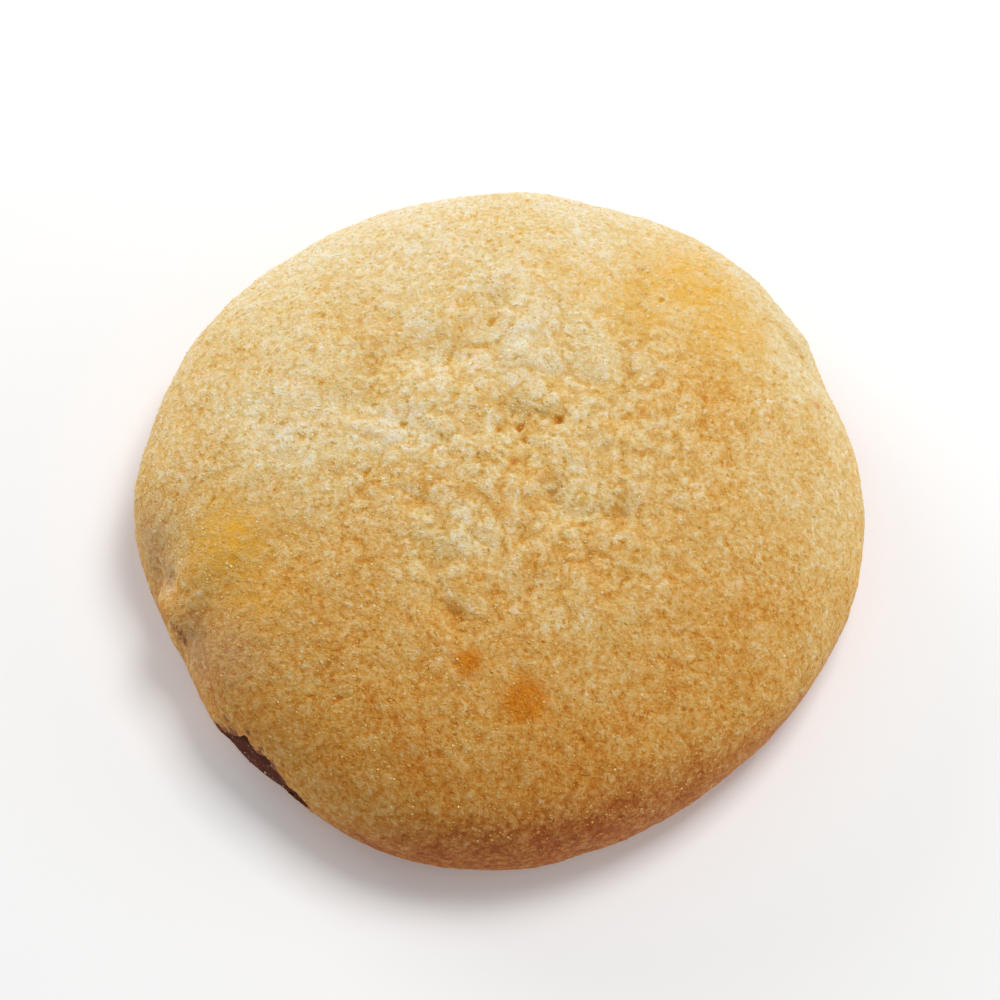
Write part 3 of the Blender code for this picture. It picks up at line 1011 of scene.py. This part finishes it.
def dough_colour(tree, speck, crumb, flake, dust, mottle, pore):
    """Colour of the crumb: pale where it stands out, deeper amber in its hollows and pits as painted shade,
    brown where it is baked and, as painted shade, towards the front, greyed by painted shade on the left
    side.
    """
    toast = mask_node(tree, "toast")
    golden = total(tree, 0.8, (crumb, 0.4), (mottle, 1.6))
    golden = math(tree, "MULTIPLY", mask_node(tree, "gold"), golden)
    fine = total(tree, math(tree, "MULTIPLY", speck, 0.38), (crumb, 0.16), (dust, -1.10))
    fine = math(tree, "MULTIPLY", fine, total(tree, 0.65, (math(tree, "ABSOLUTE", fine), 2.0)))
    # the crumb mask adds painted shade in hollows
    speckle_and_hollow_shade = total(tree, fine, (flake, 0.10), (mottle, -0.40), (mask_node(tree, "crumb"), -1.15))
    speckle_and_hollow_shade = math(tree, "MULTIPLY", speckle_and_hollow_shade, total(tree, 0.30, (toast, 0.69)))
    tone = total(tree, math(tree, "MULTIPLY", toast, 0.7), (golden, 0.08))
    depth = math(tree, "MULTIPLY", speckle_and_hollow_shade, 0.96)
    # the pit mask adds painted shade in pits
    depth = total(tree, depth, (pore, 0.36), (mask_node(tree, "pit"), 0.7))
    amber = tree.nodes.new("ShaderNodeGamma")
    set_inputs(tree, zip(amber.inputs, (DOUGH_AMBER, depth)))
    colour = mix(tree, 1.0, ramp(tree, tone, DOUGH_COLOURS), amber.outputs[0], "MULTIPLY")

    # the bake carries painted shade on the front as well as real browning
    baked = total(tree, mask_node(tree, "bake"), (speckle_and_hollow_shade, 0.35))
    brown = ramp(tree, total(tree, 0.5, (speckle_and_hollow_shade, 1.1)), BAKED_COLOURS)
    colour = mix(tree, math(tree, "MULTIPLY", baked, 0.95), colour, brown)
    colour = mix(tree, math(tree, "MULTIPLY", golden, 0.9), colour, GOLD_COLOUR)
    # painted shade: greyer and darker on the left side
    painted_shade = mix(tree, total(tree, 0.5, (speckle_and_hollow_shade, 1.0)), *PAINTED_SHADE_COLOURS)
    colour = mix(tree, mask_node(tree, "painted_shade"), colour, painted_shade)
    ruddy = mix(tree, total(tree, 0.5, (fine, 1.5)), *RUDDY_COLOURS)
    ruddy_share = total(tree, mask_node(tree, "ruddy"), (fine, -0.3), (mottle, 0.9))
    colour = mix(tree, soft_step(tree, ruddy_share, 0.05, 1.0), colour, ruddy)
    stain_share = total(tree, mask_node(tree, "stain"), (speck, 0.35), (mottle, 0.8))
    stain_share = soft_step(tree, stain_share, 0.30, 0.85)
    return mix(tree, math(tree, "MULTIPLY", stain_share, 0.85), colour, STAIN_COLOUR)


def dough_material(name, scatter):
    surface, tree, shader = new_material(name)
    place = millimetres(tree)
    rough_place = warp(tree, place, 0.5, 0.9)
    speck, speck_dome = grains(tree, rough_place, SPECK_PITCH)
    crumb, crumb_dome = grains(tree, rough_place, CELL_PITCH)
    flake = grains(tree, rough_place, FLAKE_PITCH)[0]
    dust = noise_texture(tree, place, DUST_PITCH, 2.0, 0.7)
    mottle = noise_texture(tree, place, MOTTLE_PITCH, 3.0, 0.7)
    pore = cell_spots(tree, rough_place, PORE_PITCH, 0.35, 0.40)
    colour = dough_colour(tree, speck, crumb, flake, dust, mottle, pore)
    height = math(tree, "MULTIPLY", speck_dome, 0.35)
    normal = bump_normal(tree, total(tree, height, (crumb_dome, 0.2), (dust, 0.6), (pore, -0.3)), 0.15)
    glint = cell_spots(tree, rough_place, SPECK_PITCH, 0.45, 0.6)
    inputs = shader.inputs
    set_inputs(tree, (
        (inputs["Base Color"], colour),
        (inputs["Normal"], normal),
        (inputs["Roughness"], 0.55),
        (inputs["Specular IOR Level"], 0.12),
        (inputs["Subsurface Weight"], scatter),
        (inputs["Subsurface Radius"], (1.0, 0.5, 0.2)),
        (inputs["Subsurface Scale"], DOUGH_SCATTER_DEPTH * MM),
        (inputs["Coat Weight"], math(tree, "MULTIPLY", glint, upward_share(tree))),
        (inputs["Coat Normal"], facets(tree, rough_place, normal, SPECK_PITCH, GLINT_TILT)),
        (inputs["Coat Roughness"], 0.12),
    ))
    return surface


def chocolate_material():
    surface, tree, shader = new_material("chocolate")
    place = millimetres(tree)
    cloud = noise_texture(tree, place, CHOCOLATE_CLOUD_PITCH, 4.0, 0.65)
    dust = noise_texture(tree, place, CHOCOLATE_DUST_PITCH, 2.0, 0.7)
    tone = total(tree, 0.42, (cloud, 1.6), (dust, 0.7))
    normal = bump_normal(tree, total(tree, cloud, (dust, 0.5)), 0.25)
    inputs = shader.inputs
    set_inputs(tree, (
        (inputs["Base Color"], ramp(tree, tone, CHOCOLATE_COLOURS)),
        (inputs["Normal"], facets(tree, place, normal, CHOCOLATE_FACET_PITCH, 0.25)),
        (inputs["Roughness"], 0.7),
        (inputs["Specular IOR Level"], 0.0),
        (inputs["Coat Weight"], cell_spots(tree, place, CHOCOLATE_GLINT_PITCH, 0.14, 0.6)),
        (inputs["Coat Normal"], facets(tree, place, normal, CHOCOLATE_GLINT_PITCH, GLINT_TILT)),
        (inputs["Coat Roughness"], 0.25),
    ))
    return surface


def sugar_material():
    surface, tree, shader = new_material("sugar")
    cloud = noise_texture(tree, millimetres(tree), SUGAR_TONE_PITCH)
    tone = math(tree, "MULTIPLY", total(tree, mask_node(tree, "toast"), (cloud, 0.6)), 0.8)
    inputs = shader.inputs
    set_inputs(tree, (
        (inputs["Base Color"], ramp(tree, tone, SUGAR_COLOURS)),
        (inputs["Roughness"], 0.2),
        (inputs["Specular IOR Level"], 0.5),
    ))
    return surface


def floor_material():
    surface, tree, shader = new_material("floor")
    inputs = shader.inputs
    set_inputs(tree, (
        (inputs["Base Color"], FLOOR_COLOUR),
        (inputs["Roughness"], 0.9),
        (inputs["Emission Color"], WHITE),
        (inputs["Emission Strength"], FLOOR_GLOW),
    ))
    return surface


def finish(item, surface, slot=None, node=None, smooth=True):
    """Give the item its look; where it has a slot, hang it on the root body, and where it has a node, hide
    that node's imported part.
    """
    item.data.materials.clear()
    item.data.materials.append(surface)
    if smooth:
        item.data.shade_smooth()
    if slot:
        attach(item, "root")
    if node:
        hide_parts(node)


# ------------------------------------------------------------------ stage

def aim_matrix(place, target):
    back = (Vector(place) - Vector(target)).normalized()
    right = Vector((0, 0, 1)).cross(back).normalized()
    matrix = Matrix((right, back.cross(right), back)).transposed().to_4x4()
    matrix.translation = Vector(place) * MM
    return matrix


def add_camera():
    rise = np.radians(CAMERA_ELEVATION)
    back = Vector((0.0, -np.cos(rise), np.sin(rise)))
    camera = bpy.data.cameras.new("camera")
    camera.lens = CAMERA_LENS
    camera.sensor_width = CAMERA_SENSOR
    camera.clip_start = 0.01
    item = bpy.data.objects.new("camera", camera)
    item.matrix_world = aim_matrix(Vector(CAMERA_AIM) + back * CAMERA_DISTANCE, CAMERA_AIM)
    bpy.context.scene.collection.objects.link(item)
    bpy.context.scene.camera = item


def add_light(name, azimuth, elevation, distance, side, power):
    turn, rise = np.radians((azimuth, elevation))
    way = Vector((np.cos(rise) * np.cos(turn), np.cos(rise) * np.sin(turn), np.sin(rise)))
    lamp = bpy.data.lights.new(name, "AREA")
    lamp.size = side * MM
    lamp.energy = power
    item = bpy.data.objects.new(name, lamp)
    item.matrix_world = aim_matrix(way * distance, LIGHT_AIM)
    bpy.context.scene.collection.objects.link(item)


def add_floor():
    half = FLOOR_HALF
    corners = [(-half, -half, 0), (half, -half, 0), (half, half, 0), (-half, half, 0)]
    floor = new_piece("floor", corners, [(0, 1, 2, 3)])
    floor.location = (0.0, 0.0, 0.0)
    floor.data.materials.append(floor_material())


def add_world():
    world = bpy.data.worlds.new("studio")
    world.use_nodes = True
    background = world.node_tree.nodes["Background"]
    inputs = background.inputs
    set_inputs(world.node_tree, ((inputs["Color"], WHITE), (inputs["Strength"], WORLD_STRENGTH)))
    bpy.context.scene.world = world


def main():
    bpy.context.scene.view_settings.view_transform = "Standard"
    filling = filling_form("filling", 0.0, *FILLING_LOOPS)
    finish(filling, chocolate_material(), "chocolate", "chocolate_filling")
    dough = make_dough()
    cutter = filling_form("cavity", CAVITY_GAP, *CUTTER_LOOPS, CUT_PAST_SIDE)
    rag_lip(cutter)
    cut(dough, cutter)
    paint_dough(dough, filling)
    finish(dough, dough_material("baked_dough", DOUGH_SCATTER), "baked_dough", "cookie_dough")
    finish(make_crumbs(filling), dough_material("dough_crumbs", 0.0), "baked_dough")
    sugar = make_sugar(dough)
    finish(sugar, sugar_material(), smooth=False)
    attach(sugar, "root")
    add_camera()
    add_floor()
    add_world()
    for name, setting in LIGHTS.items():
        add_light(name, *setting)


main()
